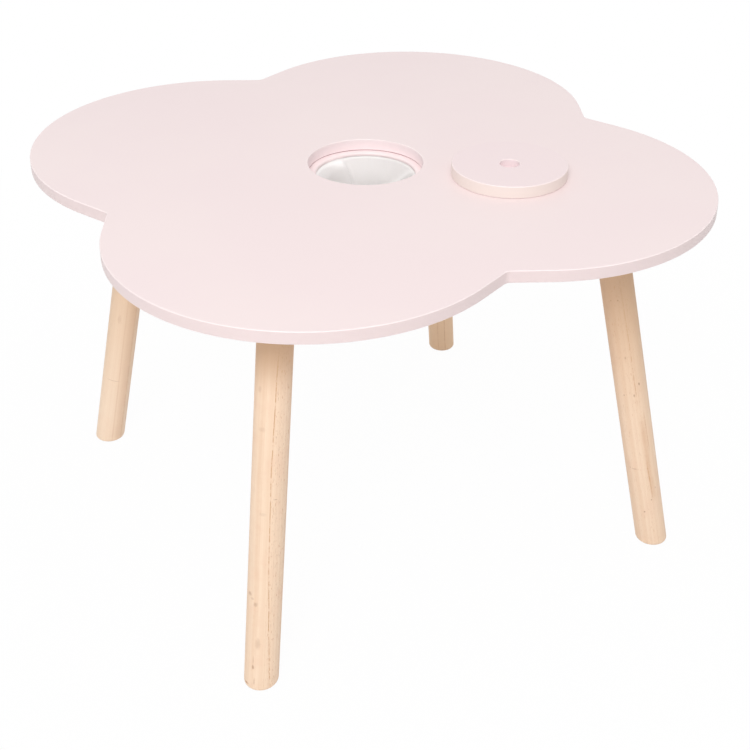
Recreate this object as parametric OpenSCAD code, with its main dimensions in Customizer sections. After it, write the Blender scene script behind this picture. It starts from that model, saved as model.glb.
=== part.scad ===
// Low play table: a four-lobed board on four splayed round legs, with a covered hole and a cloth pouch.
// Millimetres, +Z up. The origin is on the floor under the middle of the board, and the lobes and
// legs lie on the diagonals, so that the notches between the lobes face along X and Y.

/* [Board] */
// Distance from the table's middle to the middle of each lobe
lobe_offset = 161; // [140:1:185]
// Radius of each lobe
lobe_r = 186; // [165:1:205]
// Length of the straight side that leads from each lobe's arc into the notch beside it
notch_side = 34; // [12:1:50]
// Radius of the soft inner corner at the bottom of each notch
notch_r = 8; // [4:1:20]
// Thickness of the board
board_t = 12; // [10:0.5:20]
// Rounding of the board's edges and of the lid's edges
edge_r = 1; // [0.5:0.25:3]
// Height of the board's upper face above the floor
table_h = 400; // [350:5:560]

/* [Hole and lid] */
// Diameter of the hole in the middle of the board
hole_d = 115; // [90:1:140]
// Gap all round between the hole and the lid when the lid is in it
lid_gap = 0.5; // [0.25:0.25:3]
// Thickness of the lid
lid_t = 12; // [8:0.5:18]
// Diameter of the finger hole in the middle of the lid
finger_d = 19.5; // [16:0.5:30]
// How far the laid-aside lid lies inwards of its lobe's middle
lid_inset = 16.5; // [0:0.5:30]
// Turn of the laid-aside lid from its lobe's diagonal, about the table's middle, in degrees
lid_turn = 4.7; // [-10:0.1:10]

/* [Ledge and pouch] */
// Thickness of the ledge ring under the board
ledge_t = 3; // [2:0.5:6]
// How far the ledge reaches into the hole to carry the lid
ledge_lip = 7.5; // [4:0.5:15]
// How far the ledge reaches outwards under the board
ledge_flange = 14; // [12:0.5:25]
// Depth of the pouch below the ledge
pouch_depth = 150; // [90:5:200]
// How much wider the pouch's belly is than its neck, on the radius
pouch_swell = 9; // [0:1:20]
// Wall of the pouch
cloth_t = 1.4; // [1:0.1:3]
// Thickness of the folded hem that is clamped under the ledge
hem_t = 1.6; // [1:0.1:3]
// Thickness of the clamp ring under the hem
clamp_t = 3; // [2:0.5:6]
// Number of screws through the clamp ring
ring_screws_n = 6; // [4:1:8]

/* [Legs] */
// Diameter of a leg
leg_d = 33; // [26:0.5:42]
// Angle of a leg from upright, in degrees
leg_splay = 12.4; // [4:0.2:16]
// How far inside its lobe's tip a leg's axis meets the board
leg_inset = 104; // [80:1:140]
// Chamfer around the top of a leg
leg_edge = 2; // [0.5:0.5:4]
// Rounding around the level cut of a foot
foot_round = 4; // [1:0.5:6]

/* [Leg plates] */
// Side of the square steel plate that carries a leg
plate_w = 60; // [54:1:80]
// Thickness of the plate
plate_t = 2.5; // [2:0.25:4]
// Rounding of the plate's corners
plate_corner = 8; // [2:1:12]
// Distance between the screws along a side of the plate
plate_pitch = 44; // [40:1:50]
// Diameter of the slanted boss on the plate
boss_d = 26; // [20:1:32]
// Height of the boss below the plate, at the leg's axis
boss_h = 7; // [5.5:0.5:12]

/* [Fasteners] */
// Thread diameter of the hanger bolt in a leg
bolt_d = 8; // [6:1:10]
// Length of the hanger bolt inside the leg
bolt_in_leg = 35; // [25:1:50]
// Diameter of the wood screws
screw_d = 3.5; // [3:0.25:4]
// Diameter of a screw's head
head_d = 7; // [6:0.5:8]
// Height of a screw's head
head_h = 2.2; // [1.5:0.1:3]
// Board left whole above the point of a screw
board_skin = 2.5; // [1.5:0.5:4]

/* [Hidden] */

// Directions of the lobes and legs about +Z, in degrees
FRONT = -135;
RIGHT = -45;
BACK = 45;
LEFT = 135;

// Working clearances
fit_gap = 0.05;
screw_gap = 0.4;
tip_gap = 0.5;
pouch_gap = 1.2;
rest_gap = 0.1;
cut = 1;

pink = [0.95, 0.86, 0.87];
beech = [0.91, 0.79, 0.66];
steel = [0.72, 0.73, 0.75];
cloth = [0.93, 0.92, 0.91];

under = table_h - board_t;
hole_r = hole_d / 2;
lid_r = hole_r - lid_gap;
finger_r = finger_d / 2;
ledge_in = hole_r - ledge_lip;
ledge_out = hole_r + ledge_flange;
ledge_z = under - ledge_t;
hem_z = ledge_z - hem_t;
clamp_z = hem_z - clamp_t;
neck_r = ledge_in + pouch_gap + cloth_t;
clamp_in = neck_r + pouch_gap;
ring_screw_r = (hole_r + ledge_out) / 2;
belly_share = 0.6;
corner_power = 5;

leg_r = leg_d / 2;
leg_top = lobe_offset + lobe_r - leg_inset;
leg_foot = leg_top + under * tan(leg_splay);
leg_seat = (plate_t + boss_h) / cos(leg_splay);
leg_axis = under / cos(leg_splay);

bolt_r = bolt_d / 2 - fit_gap;
bolt_up = leg_seat - (tip_gap + bolt_r * sin(leg_splay)) / cos(leg_splay);
bolt_point = bolt_d / 2;
bolt_chamfer = bolt_d / 8;

screw_r = screw_d / 2;
screw_point = screw_d * 0.85;
recess_w = head_d * 0.13;
recess_l = head_d * 0.55;
recess_d = head_h * 0.55;
screw_bite = board_t - board_skin - tip_gap;
ring_screw_l = ledge_t + hem_t + clamp_t + screw_bite;
plate_screw_l = plate_t + screw_bite;

edge_steps = 3;
lobe_steps = 40;
notch_steps = 8;
round_fn = 180;
small_fn = 48;

// A lobe's arc runs on past its quarter circle by touch_a at each end. There a straight side of
// length notch_side touches it, and ends on the circle of the inner corner, whose middle is
// notch_x from the table's middle.
half_side = lobe_offset * sin(45);
both_r = lobe_r + notch_r;
touch_a = asin(half_side / norm([both_r, notch_side])) - atan2(notch_side, both_r);
notch_x = half_side + (both_r - half_side * sin(touch_a)) / cos(touch_a);

// Quarter circle of an edge: how far it has drawn in at each step, and how far it has risen
function draw_in(i) = edge_r * (1 - sin(90 * i / edge_steps));
function rise(i) = edge_r * (1 - cos(90 * i / edge_steps));

// A board's rim from its lower face up, as pairs of how far it has drawn in and its height
function rim(t) = concat([for (i = [0 : edge_steps]) [draw_in(i), rise(i)]],
    [for (i = [edge_steps : -1 : 0]) [draw_in(i), t - rise(i)]]);

function polar(r, a) = [r * cos(a), r * sin(a)];
function turned(p, a) = [p.x * cos(a) - p.y * sin(a), p.x * sin(a) + p.y * cos(a)];

// Square with round corners
function soft_square(w, r, steps = 6) = [for (q = [0 : 3]) for (i = [0 : steps])
    turned([w / 2 - r, w / 2 - r], 90 * q) + polar(r, 90 * q + 90 * i / steps)];

// Outline of the board, drawn in by d: each lobe's arc follows the arc of the inner corner before it,
// and the straight sides join the two
function outline(d) = [for (q = [0 : 3]) each concat(
    [for (i = [0 : notch_steps]) let (a = 180 + touch_a * (1 - 2 * i / notch_steps))
        turned([notch_x, 0] + polar(notch_r + d, a), 90 * q)],
    [for (i = [0 : lobe_steps]) let (a = (90 + 2 * touch_a) * i / lobe_steps - touch_a)
        turned([half_side, half_side] + polar(lobe_r - d, a), 90 * q)])];

// The outline carried up the rim, ring by ring
module four_lobes() {
    rings = rim(board_t);
    n = len(outline(0));
    last = len(rings) - 1;
    points = [for (ring = rings) for (p = outline(ring.x)) [p.x, p.y, ring.y]];
    walls = [for (k = [0 : last - 1]) for (i = [0 : n - 1]) let (j = (i + 1) % n)
        [k * n + i, (k + 1) * n + i, (k + 1) * n + j, k * n + j]];
    floor_face = [for (i = [0 : n - 1]) i];
    top_face = [for (i = [n - 1 : -1 : 0]) last * n + i];
    polyhedron(points, concat([floor_face, top_face], walls), convexity = 4);
}

// The hole through the board, rounded at its upper edge
module lid_hole() {
    lip = [for (i = [edge_steps : -1 : 0]) [hole_r + draw_in(i), board_t - rise(i)]];
    rotate_extrude($fn = round_fn)
        polygon(concat([[0, -cut], [hole_r, -cut]], lip,
            [[hole_r + edge_r, board_t + cut], [0, board_t + cut]]));
}

// Places for the screws of the ledge and of one leg plate
module at_ring_screws() {
    for (i = [0 : ring_screws_n - 1])
        rotate(360 * i / ring_screws_n) translate([ring_screw_r, 0, 0]) children();
}

module at_plate_screws(side) {
    rotate(side) translate([leg_top, 0, 0])
        for (x = [-1, 1], y = [-1, 1]) translate([x * plate_pitch / 2, y * plate_pitch / 2, 0]) children();
}

// A leg's own axis: z = 0 where it meets the board's underside, and the leg runs down along -z
module on_leg_axis(side) {
    rotate(side) translate([leg_top, 0, under]) rotate([0, -leg_splay, 0]) children();
}

// Wood screw that points up, with its head's seat at z = 0
module screw(length) {
    difference() {
        rotate_extrude($fn = small_fn)
            polygon([[0, -head_h], [head_d * 0.3, -head_h], [head_d * 0.44, -head_h * 0.7],
                [head_d / 2, -head_h * 0.25], [head_d / 2, 0], [screw_r, 0],
                [screw_r, length - screw_point], [0, length]]);
        for (a = [0, 90]) rotate(a) translate([-recess_l / 2, -recess_w / 2, -head_h - cut])
            cube([recess_l, recess_w, recess_d + cut]);
    }
}

module pilot() {
    translate([0, 0, -cut]) cylinder(h = board_t - board_skin + cut, r = screw_r + fit_gap, $fn = small_fn);
}

module tabletop() color(pink) translate([0, 0, under]) difference() {
    four_lobes();
    lid_hole();
    at_ring_screws() pilot();
    for (side = [FRONT, RIGHT, BACK, LEFT]) at_plate_screws(side) pilot();
}

module lid() color(pink) rotate(RIGHT + lid_turn)
    translate([lobe_offset - lid_inset, 0, table_h + rest_gap]) {
    outside = [for (p = rim(lid_t)) [lid_r - p.x, p.y]];
    inside = [for (p = rim(lid_t)) [finger_r + p.x, lid_t - p.y]];
    rotate_extrude($fn = round_fn) polygon(concat(outside, inside));
}

// Flat ring with the clamp ring's and the ledge's screw holes
module flat_ring(r_in, r_out, t) {
    difference() {
        cylinder(h = t, r = r_out, $fn = round_fn);
        translate([0, 0, -cut]) cylinder(h = t + 2 * cut, r = r_in, $fn = round_fn);
        at_ring_screws() translate([0, 0, -cut])
            cylinder(h = t + 2 * cut, r = screw_r + screw_gap, $fn = small_fn);
    }
}

module ledge_ring() color(pink) translate([0, 0, ledge_z]) flat_ring(ledge_in, ledge_out, ledge_t);

module pouch_clamp_ring() color(beech) translate([0, 0, clamp_z]) flat_ring(clamp_in, ledge_out, clamp_t);

// Side of the pouch from its neck down to its middle: it swells down to the belly, then closes in a
// soft corner, which is a superellipse of the corner's power
function pouch_side(neck, depth, steps = 14) = [for (i = [0 : steps])
    let (d = sin(90 * i / steps), r = neck + pouch_swell * sin(min(90, 90 * d / belly_share)))
    [r * pow(1 - pow(d, corner_power), 1 / corner_power), -depth * d]];

module storage_pouch() color(cloth) translate([0, 0, ledge_z]) difference() {
    outer = pouch_side(neck_r, pouch_depth - hem_t);
    inner = pouch_side(neck_r - cloth_t, pouch_depth - cloth_t);
    steps = len(inner) - 1;
    rotate_extrude($fn = round_fn) polygon(concat([[ledge_out, 0], [ledge_out, -hem_t]],
        [for (p = outer) [p.x, p.y - hem_t]], [for (i = [steps : -1 : 0]) inner[i]]));
    at_ring_screws() translate([0, 0, -hem_t - cut])
        cylinder(h = hem_t + 2 * cut, r = screw_r + screw_gap, $fn = small_fn);
}

module ring_screws() color(steel) at_ring_screws() translate([0, 0, clamp_z]) screw(ring_screw_l);

// Ring that rounds the edge of a foot's level cut: half of a quarter arc, then straight on outwards
module foot_cutter(side) {
    arc = [for (i = [0 : edge_steps]) let (a = 45 * i / edge_steps)
        [leg_r - foot_round * (1 - sin(a)), foot_round * (1 - cos(a))]];
    far = arc[edge_steps] + [2 * foot_round, 2 * foot_round];
    rotate(side) translate([leg_foot, 0, 0]) rotate_extrude($fn = round_fn)
        polygon(concat([[leg_r - foot_round, -cut]], arc, [far, [far.x, -cut]]));
}

module leg(side) color(beech) difference() {
    on_leg_axis(side) translate([0, 0, -leg_axis - leg_r]) rotate_extrude($fn = round_fn)
        polygon([[0, 0], [leg_r, 0], [leg_r, leg_axis + leg_r - leg_seat - leg_edge],
            [leg_r - leg_edge, leg_axis + leg_r - leg_seat], [0, leg_axis + leg_r - leg_seat]]);
    on_leg_axis(side) translate([0, 0, -leg_seat - bolt_in_leg - tip_gap])
        cylinder(h = bolt_in_leg + tip_gap + cut, r = bolt_r + fit_gap, $fn = small_fn);
    rotate(side) translate([leg_foot, 0, -leg_d]) cube([4 * leg_d, 4 * leg_d, 2 * leg_d], center = true);
    foot_cutter(side);
}

module leg_plate(side) color(steel) difference() {
    union() {
        rotate(side) translate([leg_top, 0, under - plate_t])
            linear_extrude(plate_t) polygon(soft_square(plate_w, plate_corner));
        on_leg_axis(side) translate([0, 0, -leg_seat])
            cylinder(h = leg_seat + boss_d, d = boss_d, $fn = round_fn);
    }
    rotate(side) translate([leg_top, 0, under + boss_d])
        cube([4 * boss_d, 4 * boss_d, 2 * boss_d], center = true);
    on_leg_axis(side) translate([0, 0, -leg_seat - cut])
        cylinder(h = leg_seat + bolt_d, r = bolt_r + fit_gap, $fn = small_fn);
    at_plate_screws(side) translate([0, 0, under - plate_t - cut])
        cylinder(h = plate_t + 2 * cut, r = screw_r + screw_gap, $fn = small_fn);
}

module hanger_bolt(side) color(steel) on_leg_axis(side) translate([0, 0, -leg_seat]) {
    rotate_extrude($fn = small_fn) polygon([[0, -bolt_in_leg], [bolt_r * 0.3, -bolt_in_leg],
        [bolt_r, bolt_point - bolt_in_leg], [bolt_r, bolt_up - bolt_chamfer],
        [bolt_r - bolt_chamfer, bolt_up], [0, bolt_up]]);
}

module plate_screws(side) color(steel) at_plate_screws(side)
    translate([0, 0, under - plate_t]) screw(plate_screw_l);

tabletop();
lid();
ledge_ring();
storage_pouch();
pouch_clamp_ring();
ring_screws();
leg(FRONT);  // leg_front
leg(RIGHT);  // leg_right
leg(BACK);  // leg_back
leg(LEFT);  // leg_left
leg_plate(FRONT);  // leg_plate_front
leg_plate(RIGHT);  // leg_plate_right
leg_plate(BACK);  // leg_plate_back
leg_plate(LEFT);  // leg_plate_left
hanger_bolt(FRONT);  // hanger_bolt_front
hanger_bolt(RIGHT);  // hanger_bolt_right
hanger_bolt(BACK);  // hanger_bolt_back
hanger_bolt(LEFT);  // hanger_bolt_left
plate_screws(FRONT);  // plate_screws_front
plate_screws(RIGHT);  // plate_screws_right
plate_screws(BACK);  // plate_screws_back
plate_screws(LEFT);  // plate_screws_left
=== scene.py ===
# Children's four-lobed table: pink painted board with a covered hole and a cloth pouch, on four wooden legs.
# Sizes are in millimetres here and become metres in the meshes. Angles are in degrees about +Z.
import math

import bpy
import numpy as np
from mathutils import Matrix, Vector


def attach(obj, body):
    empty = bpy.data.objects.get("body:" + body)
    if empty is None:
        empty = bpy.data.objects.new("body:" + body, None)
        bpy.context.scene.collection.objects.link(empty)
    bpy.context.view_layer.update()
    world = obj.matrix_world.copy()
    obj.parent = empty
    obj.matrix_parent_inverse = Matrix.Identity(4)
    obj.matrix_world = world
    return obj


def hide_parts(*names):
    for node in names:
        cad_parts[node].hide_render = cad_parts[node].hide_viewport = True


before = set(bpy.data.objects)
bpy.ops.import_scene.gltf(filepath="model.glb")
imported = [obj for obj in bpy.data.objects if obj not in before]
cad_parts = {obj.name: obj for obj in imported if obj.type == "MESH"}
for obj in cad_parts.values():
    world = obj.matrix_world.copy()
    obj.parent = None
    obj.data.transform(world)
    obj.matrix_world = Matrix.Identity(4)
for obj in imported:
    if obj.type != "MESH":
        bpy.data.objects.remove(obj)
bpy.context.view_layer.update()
print("frame loaded with", len(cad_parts), "nodes")

millimetre = 0.001  # in metres
metre = 1000.0  # in millimetres
sides = {"front": -135, "right": -45, "back": 45, "left": 135}

# The photograph's camera: it looks at aim from azimuth and elevation, then moves across and up without
# turning. Its places are in metres.
view = {
    "azimuth": -29.0,
    "elevation": 32.005,
    "roll": 0.842,
    "distance": 1.3252,
    "across": 0.0455,
    "up": -0.2129,
    "aim": (0, 0, 0.4),
    "lens": 63.71,
    "shift": -0.044,
}


def addCamera():
    azimuth, elevation, roll = (math.radians(view[k]) for k in ("azimuth", "elevation", "roll"))
    level = math.cos(elevation)
    back = Vector((math.sin(azimuth) * level, -math.cos(azimuth) * level, math.sin(elevation)))
    right = Vector((math.cos(azimuth), math.sin(azimuth), 0))
    up = back.cross(right)
    place = Vector(view["aim"]) + back * view["distance"] + right * view["across"] + up * view["up"]
    across = right * math.cos(roll) + up * math.sin(roll)
    upright = up * math.cos(roll) - right * math.sin(roll)
    camera = bpy.data.objects.new("camera", bpy.data.cameras.new("camera"))
    camera.data.lens = view["lens"]
    camera.data.shift_x = view["shift"]
    camera.matrix_world = Matrix.Translation(place) @ Matrix((across, upright, back)).transposed().to_4x4()
    bpy.context.scene.collection.objects.link(camera)
    bpy.context.scene.camera = camera


addCamera()
print("camera set")


# Six times the volume inside a closed skin of quads and fans: below zero where its faces point inwards
def sixVolumes(points, quads, fans):
    centred = points - points.mean(0)
    a, b, c, d = (centred[quads[:, k]] for k in range(4))
    volume = (a * np.cross(b, c)).sum() + (a * np.cross(c, d)).sum()
    a, b, c = (centred[fans[:, k]] for k in range(3))
    return volume + (a * np.cross(b, c)).sum()


# A grid of points becomes a closed skin: column j joins column j + 1 and the last joins the first. The rows
# close on themselves with loop, or an end row, 0 or -1, closes on a pole. uv holds, for each row of faces,
# the places of its upper and its lower edge, with one column more than the grid. Notes become attributes.
def newMesh(name, grid, poles=None, loop=False, uv=None, notes=None):
    poles = poles or {}
    rows, columns = grid.shape[:2]
    ids = np.arange(rows * columns).reshape(rows, columns)
    above = ids if loop else ids[:-1]
    below = np.roll(ids, -1, 0) if loop else ids[1:]
    quads = np.stack([above, below, np.roll(below, -1, 1), np.roll(above, -1, 1)], -1).reshape(-1, 4)
    points = grid.reshape(-1, 3)
    fans = np.zeros((0, 3), int)
    for row, pole in poles.items():
        ring, tip = ids[row], np.full(columns, len(points))
        points = np.vstack([points, pole])
        order = [tip, ring, np.roll(ring, -1)] if row == 0 else [ring, tip, np.roll(ring, -1)]
        fans = np.vstack([fans, np.stack(order, -1)])
    turn = -1 if sixVolumes(points, quads, fans) < -1 else 1  # a flat card has no volume and stays as it is
    corners = np.concatenate([quads[:, ::turn].ravel(), fans[:, ::turn].ravel()])
    sizes = np.concatenate([np.full(len(quads), 4), np.full(len(fans), 3)])
    mesh = bpy.data.meshes.new(name)
    mesh.vertices.add(len(points))
    mesh.vertices.foreach_set("co", (points * millimetre).astype(np.float32).ravel())
    mesh.loops.add(len(corners))
    mesh.loops.foreach_set("vertex_index", corners.astype(np.int32))
    mesh.polygons.add(len(sizes))
    mesh.polygons.foreach_set("loop_start", (np.cumsum(sizes) - sizes).astype(np.int32))
    mesh.update(calc_edges=True)
    mesh.shade_smooth()
    if uv is not None:
        upper, lower = uv[: len(above), 0], uv[: len(above), 1]
        flat = np.stack([upper[:, :-1], lower[:, :-1], lower[:, 1:], upper[:, 1:]], 2)
        ends = np.stack([uv[-1, 0, :-1], uv[-1, 1, :-1], uv[-1, 0, 1:]], 1)  # the fan round the last pole
        flat, ends = flat.reshape(-1, 4, 2)[:, ::turn], ends[:, ::turn]
        both = np.concatenate([flat.reshape(-1, 2), ends.reshape(-1, 2)])
        mesh.uv_layers.new(name="cloth").uv.foreach_set("vector", both.astype(np.float32).ravel())
    for note, values in (notes or {}).items():
        values = values.reshape(rows, columns, -1)
        atPoles = [values[row].mean(0)[None] for row in poles]
        filled = np.concatenate([values.reshape(rows * columns, -1)] + atPoles).astype(np.float32)
        kind, field = ("FLOAT_VECTOR", "vector") if filled.shape[1] == 3 else ("FLOAT", "value")
        mesh.attributes.new(note, kind, "POINT").data.foreach_set(field, filled.ravel())
    return mesh


def addPiece(name, mesh, body, nodes, material):
    piece = bpy.data.objects.new(name, mesh)
    bpy.context.scene.collection.objects.link(piece)
    mesh.materials.append(material)
    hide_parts(*nodes)
    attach(piece, body)
    return piece


# Section of a ring or board, counter-clockwise from the outer lower corner. Each corner is centre +
# edge (cos a, sin a), with one more point support away on either flat. The third value is |sin 2a|: the
# arris, 0 on the flats.
def softSection(inner, outer, low, high, edges, steps, support):
    turns = np.linspace(0, math.pi / 2, steps + 1)
    inwards, upwards = (-1, -1, 1, 1), (1, -1, -1, 1)
    parts = []
    for n, edge in enumerate(edges):
        a = turns + (n - 1) * math.pi / 2
        r = (outer if n < 2 else inner) + inwards[n] * edge
        z = (low if n in (0, 3) else high) + upwards[n] * edge
        arc = np.stack([r + edge * np.cos(a), z + edge * np.sin(a), np.abs(np.sin(2 * turns))], -1)
        first = arc[0] + support * np.array([math.sin(a[0]), -math.cos(a[0]), 0])
        last = arc[-1] + support * np.array([-math.sin(a[-1]), math.cos(a[-1]), 0])
        parts += [first[None], arc, last[None]]
    return np.concatenate(parts)


# A section turned about an upright axis: (x, y, z) = (middle + r cos t, middle + r sin t, z)
def turnedGrid(section, columns, middle=(0, 0)):
    t = np.arange(columns) * 2 * math.pi / columns
    r, z = section[:, 0:1], section[:, 1:2]
    return np.stack([middle[0] + r * np.cos(t), middle[1] + r * np.sin(t), z + 0 * t], -1)


# Points turned about +Z
def turnAbout(points, degrees):
    a = math.radians(degrees)
    x, y, z = points[..., 0], points[..., 1], points[..., 2]
    return np.stack([x * math.cos(a) - y * math.sin(a), x * math.sin(a) + y * math.cos(a), z], -1)


def smooth(value, low, high):  # 0 at low, 1 at high, smooth between
    s = np.clip((value - low) / (high - low), 0, 1)
    return s * s * (3 - 2 * s)


def colour(*screen):  # from the 0-255 values of a screen to linear light
    values = (value / 255 for value in screen)
    return tuple(v / 12.92 if v <= 0.04045 else ((v + 0.055) / 1.055) ** 2.4 for v in values) + (1.0,)


# One socket of a material. Sums, products and powers of wires add Math nodes, and node() any other node.
class Wire:
    def __init__(self, tree, socket=None):
        self.tree, self.socket = tree, socket

    def node(self, kind, settings=None, links=None, out=0):
        made = self.tree.nodes.new("ShaderNode" + kind)
        for name, value in (settings or {}).items():
            setattr(made, name, value)
        for name, value in (links or {}).items():
            if isinstance(value, Wire):
                self.tree.links.new(value.socket, made.inputs[name])
            else:
                made.inputs[name].default_value = value
        return Wire(self.tree, made.outputs[out] if made.outputs else None)

    def at(self, out):
        return Wire(self.tree, self.socket.node.outputs[out])

    def maths(self, operation, *values):
        return self.node("Math", {"operation": operation}, dict(enumerate(values)))

    def __add__(self, other):
        return self.maths("ADD", self, other)

    def __radd__(self, other):
        return self.maths("ADD", other, self)

    def __sub__(self, other):
        return self.maths("SUBTRACT", self, other)

    def __rsub__(self, other):
        return self.maths("SUBTRACT", other, self)

    def __mul__(self, other):
        return self.maths("MULTIPLY", self, other)

    def __rmul__(self, other):
        return self.maths("MULTIPLY", other, self)

    def __truediv__(self, other):
        return self.maths("DIVIDE", self, other)

    def __pow__(self, other):
        return self.maths("POWER", self, other)

    def __abs__(self):
        return self.maths("ABSOLUTE", self)

    def ramp(self, low, high):  # 0 at low, 1 at high, smooth between
        return self.node("MapRange", {"interpolation_type": "SMOOTHSTEP"},
                         {"Value": self, "From Min": low, "From Max": high})

    def band(self, rise, fall):  # 1 between the spans rise and fall, 0 outside them
        return self.ramp(*rise) * (1.0 - self.ramp(*fall))

    def noise(self, place, repeat, detail=2.0, rough=0.5):  # repeat: how often in a metre
        stretch = repeat if isinstance(repeat, tuple) else (repeat,) * 3
        spread = self.node("VectorMath", {"operation": "MULTIPLY"}, {0: place, 1: stretch})
        sockets = {"Vector": spread, "Scale": 1.0, "Detail": detail, "Roughness": rough}
        return self.node("TexNoise", {}, sockets)

    def mix(self, share, first, second):  # two colours, each a wire or the values of a screen
        first, second = (c if isinstance(c, Wire) else colour(*c) for c in (first, second))
        return self.node("Mix", {"data_type": "RGBA"}, {0: share, 6: first, 7: second}, out=2)

    def objectPlace(self):
        return self.node("TexCoord", out="Object")

    def attribute(self, name, out="Fac"):
        return self.node("Attribute", {"attribute_name": name}, out=out)

    def seenDirectly(self):  # 1 for the camera's rays and those in a mirror or glass, 0 for light on things
        rays = self.node("LightPath", out="Is Camera Ray")
        mirrored = self.maths("MAXIMUM", rays.at("Is Glossy Ray"), rays.at("Is Transmission Ray"))
        return self.maths("MAXIMUM", rays, mirrored)


def newMaterial(name):
    material = bpy.data.materials.new(name)
    material.use_nodes = True
    material.node_tree.nodes.clear()
    return material, Wire(material.node_tree)


# The end of a material: bump holds its strength and its depth in millimetres, height is the pattern that it
# follows, and fixed holds sockets that are the same all over.
def finishSurface(wires, tone, rough, bump, height, fixed):
    strength, depth = bump
    normal = wires.node("Bump", {}, {"Strength": strength, "Distance": depth * millimetre, "Height": height})
    surface = {"Base Color": tone, "Roughness": rough, "Normal": normal}
    wires.node("OutputMaterial", {}, {"Surface": wires.node("BsdfPrincipled", {}, surface | fixed)})


paint = {
    "cloud": {"repeat": 5.0, "detail": 3.0},
    "cloudSpan": (0.35, 0.65),
    "stipple": {"repeat": 620.0, "detail": 1.0},
    "sweep": {"repeat": 38.0, "detail": 2.0},
    "sweepShare": 0.6,
    "roughShift": 0.05,
    "depth": 0.3,
    "index": 1.46,
}


# Satin paint: a slow cloud shifts the tone by a shade, a fine stipple gives the sprayed skin, and over tints
# what the piece's notes mark, such as the arrises, which are tinted lighter as a painted highlight along the
# rounding.
def satinPaint(name, tones):
    material, wires = newMaterial(name)
    place = wires.objectPlace()
    cloud = wires.noise(place, **paint["cloud"]).ramp(*paint["cloudSpan"])
    stipple = wires.noise(place, **paint["stipple"])
    sweep = wires.noise(place, **paint["sweep"])
    tone = wires.mix(cloud, tones["base"], tones["shade"])
    # Each note's tint; among them are painted light and shade: the arrises' painted highlight, lighter hole
    # walls, a joint's painted shadow
    for note, (tint, share) in tones["over"].items():
        tone = wires.mix(wires.attribute(note) * share, tone, tint)
    shift = paint["roughShift"]
    rough = tones["rough"] + shift * (sweep - 0.5) - shift * wires.attribute("arris")
    height = stipple + paint["sweepShare"] * sweep
    finishSurface(wires, tone, rough, (tones["bump"], paint["depth"]), height, {"IOR": paint["index"]})
    return material


board = {
    "lobeOffset": 161,
    "lobeRadius": 186,
    "notchSide": 34,
    "notchRadius": 8,
    "low": 388,
    "high": 400,
    "holeRadius": 57.5,
    "edge": 1,
    "holeLowerEdge": 0.8,
    "jointFade": 0.3,
    "lobeSteps": 80,
    "notchSteps": 12,
    "sideSteps": 6,
    "faceRows": 10,
}
# For board and lid: the steps in a rounding, and how far the next row lies beside it
boardRounding = {"steps": 6, "support": 0.3}
wallMargin = 0.4  # what the notes for walls leave out next to the faces
# What over holds is each note's tint and its share. The hole's wall, inside, is painted lighter: painted
# light where the hole shades it. The joint, its line on the ledge, is darker: a painted shadow in the gap
# between board and ledge. The arris tint is a painted highlight along the rounded edges.
boardTones = {
    "base": (241, 225, 224),
    "shade": (240, 223, 223),
    "over": {
        "wall": ((231, 213, 212), 0.8),
        "inside": ((254, 238, 239), 1.0),
        "paintedJointShadow": ((150, 92, 98), 1.0),
        "arris": ((253, 240, 239), 0.6),
    },
    "rough": 0.42,
    "bump": 0.12,
}


# Outline of the four lobes. A lobe is h + R (cos b, sin b), with h = lobeOffset sin 45, and passes its
# quarter by the angle touch; there a straight side of length s touches it and runs to the notch's small
# circle of radius n, so (R + n) sin(touch) + s cos(touch) = h. Returns the points and their inward normals.
def fourLobes():
    big, small, straight = board["lobeRadius"], board["notchRadius"], board["notchSide"]
    half = board["lobeOffset"] * math.sin(math.pi / 4)
    touch = math.asin(half / math.hypot(big + small, straight)) - math.atan2(straight, big + small)
    notch = half + (big + small - half * math.sin(touch)) / math.cos(touch)
    a = np.pi + touch * np.linspace(1, -1, board["notchSteps"] + 1)
    b = np.linspace(-touch, math.pi / 2 + touch, board["lobeSteps"] + 1)
    inner, outer = np.stack([np.cos(a), np.sin(a)], -1), np.stack([np.cos(b), np.sin(b)], -1)
    arc, lobe = np.array([notch, 0]) + small * inner, half + big * outer
    nextArc = turnAbout(np.append(arc[0], 0), 90)[:2]
    along = np.linspace(0, 1, board["sideSteps"] + 1)[1:-1, None]
    there, back = arc[-1] + along * (lobe[0] - arc[-1]), lobe[-1] + along * (nextArc - lobe[-1])
    points = np.concatenate([arc, there, lobe, back])
    normals = np.concatenate([inner, inner[-1] + 0 * there, -outer, -outer[-1] + 0 * back])
    flat = [np.pad(v, ((0, 0), (0, 1))) for v in (points, normals)]
    points, normals = (np.concatenate([turnAbout(v, 90 * q) for q in range(4)])[:, :2] for v in flat)
    return points, normals


# 1 on a board's or lid's upright walls, 0 on its faces and arrises
def wallNote(z, arris, low, high):
    return ((z > low + wallMargin) & (z < high - wallMargin)) * (1 - arris)


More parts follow.
